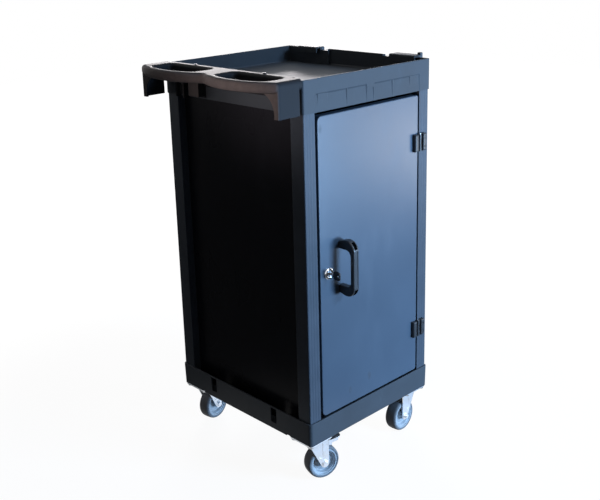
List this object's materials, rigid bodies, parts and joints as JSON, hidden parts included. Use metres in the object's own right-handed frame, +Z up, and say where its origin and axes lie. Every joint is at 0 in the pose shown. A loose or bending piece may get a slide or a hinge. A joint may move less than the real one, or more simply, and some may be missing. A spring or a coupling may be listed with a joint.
{
  "type": "compact utility cart",
  "caption": "Narrow black service cart with a lockable hinged door, a moulded top tray with a push handle, a tool holder, cord hooks and braked swivel casters.",
  "frame": {"origin": "on the floor, under the middle of the cart's overall box", "axes": "+X along the door face from the push handle to the far end, +Y from the door to the back, +Z up"},
  "size_m": [0.53, 0.5006, 0.9385],
  "materials": {
    "moulded_black": "satin textured moulding",
    "panel_paint": "fine textured powder coat",
    "door_paint": "fine textured powder coat",
    "post_black": "satin extruded plastic",
    "pull_black": "satin moulding",
    "hinge_black": "satin moulding",
    "hinge_steel": "plain",
    "lock_chrome": "polished",
    "lock_steel": "zinc plated",
    "key_black": "gloss moulding",
    "black_screws": "black oxide",
    "zinc_screws": "zinc plated",
    "caster_zinc": "bright zinc plated",
    "wheel_grey": "satin moulding",
    "tyre_grey": "matte"
  },
  "bodies": {
    "cabinet": {"base_tray": "moulded_black", "top_tray": "moulded_black", "push_handle": "moulded_black", "handle_end_panel": "panel_paint", "far_end_panel": "panel_paint", "back_panel": "panel_paint", "strike_plate": "lock_steel", "strike_screws": "zinc_screws", "hinge_screws_post": "black_screws", "tool_holder": "moulded_black", "cord_hook_front": "moulded_black", "cord_hook_back": "moulded_black", "tray_screws": "black_screws", "caster_bolts": "zinc_screws", "kingpins": "caster_zinc", "swivel_balls": "caster_zinc", "hinge_upper_post_leaf": "hinge_black", "hinge_upper_pin": "hinge_steel", "hinge_lower_post_leaf": "hinge_black", "hinge_lower_pin": "hinge_steel", "post_front_left": "post_black", "caster_plate_front_left": "caster_zinc", "post_front_right": "post_black", "caster_plate_front_right": "caster_zinc", "post_back_left": "post_black", "caster_plate_back_left": "caster_zinc", "post_back_right": "post_black", "caster_plate_back_right": "caster_zinc"},
    "door": {"door": "door_paint", "pull_handle": "pull_black", "pull_screws": "zinc_screws", "lock_body": "lock_chrome", "lock_nut": "lock_steel", "hinge_upper_door_leaf": "hinge_black", "hinge_lower_door_leaf": "hinge_black", "hinge_screws_door": "zinc_screws"},
    "lock": {"lock_plug": "lock_steel", "lock_cam": "lock_steel", "cam_screw": "zinc_screws", "key_blade": "lock_steel", "key_bow": "key_black"},
    "fork_front_left": {"caster_fork_front_left": "caster_zinc", "caster_axle_front_left": "caster_zinc"},
    "wheel_front_left": {"caster_wheel_front_left": "wheel_grey", "caster_tyre_front_left": "tyre_grey"},
    "fork_front_right": {"caster_fork_front_right": "caster_zinc", "caster_axle_front_right": "caster_zinc"},
    "wheel_front_right": {"caster_wheel_front_right": "wheel_grey", "caster_tyre_front_right": "tyre_grey"},
    "fork_back_left": {"caster_fork_back_left": "caster_zinc", "caster_axle_back_left": "caster_zinc"},
    "wheel_back_left": {"caster_wheel_back_left": "wheel_grey", "caster_tyre_back_left": "tyre_grey"},
    "fork_back_right": {"caster_fork_back_right": "caster_zinc", "caster_axle_back_right": "caster_zinc"},
    "wheel_back_right": {"caster_wheel_back_right": "wheel_grey", "caster_tyre_back_right": "tyre_grey"},
    "pedal_front_left": {"brake_pedal_front_left": "caster_zinc"},
    "pedal_back_left": {"brake_pedal_back_left": "caster_zinc"}
  },
  "joints": [
    {"name": "door_hinge", "type": "hinge", "parent": "cabinet", "child": "door", "pos_m": [0.20368, -0.20949, 0.5075], "axis": [0, 0, 1], "range_deg": [0, 120]},
    {"name": "lock_turn", "type": "hinge", "parent": "door", "child": "lock", "pos_m": [-0.09897, -0.20529, 0.502], "axis": [0, 1, 0], "range_deg": [0, 90]},
    {"name": "swivel_front_left", "type": "hinge", "parent": "cabinet", "child": "fork_front_left", "pos_m": [-0.12997, -0.17089, 0.0985], "axis": [0, 0, 1], "continuous": true},
    {"name": "roll_front_left", "type": "hinge", "parent": "fork_front_left", "child": "wheel_front_left", "pos_m": [-0.10605, -0.17816, 0.04], "axis": [0.2907, 0.9568, 0], "continuous": true},
    {"name": "swivel_front_right", "type": "hinge", "parent": "cabinet", "child": "fork_front_right", "pos_m": [0.20403, -0.17089, 0.0985], "axis": [0, 0, 1], "continuous": true},
    {"name": "roll_front_right", "type": "hinge", "parent": "fork_front_right", "child": "wheel_front_right", "pos_m": [0.17908, -0.1725, 0.04], "axis": [0.0645, -0.9979, 0], "continuous": true},
    {"name": "swivel_back_left", "type": "hinge", "parent": "cabinet", "child": "fork_back_left", "pos_m": [-0.12997, 0.21211, 0.0985], "axis": [0, 0, 1], "continuous": true},
    {"name": "roll_back_left", "type": "hinge", "parent": "fork_back_left", "child": "wheel_back_left", "pos_m": [-0.10534, 0.21641, 0.04], "axis": [-0.1719, 0.9851, 0], "continuous": true},
    {"name": "swivel_back_right", "type": "hinge", "parent": "cabinet", "child": "fork_back_right", "pos_m": [0.20403, 0.21211, 0.0985], "axis": [0, 0, 1], "continuous": true},
    {"name": "roll_back_right", "type": "hinge", "parent": "fork_back_right", "child": "wheel_back_right", "pos_m": [0.17977, 0.21816, 0.04], "axis": [-0.2419, -0.9703, 0], "continuous": true},
    {"name": "brake_front_left", "type": "hinge", "parent": "fork_front_left", "child": "pedal_front_left", "pos_m": [-0.10222, -0.17932, 0.087], "axis": [0.2907, 0.9568, 0], "range_deg": [0, 13]},
    {"name": "brake_back_left", "type": "hinge", "parent": "fork_back_left", "child": "pedal_back_left", "pos_m": [-0.1014, 0.2171, 0.087], "axis": [-0.1719, 0.9851, 0], "range_deg": [0, 13]}
  ]
}
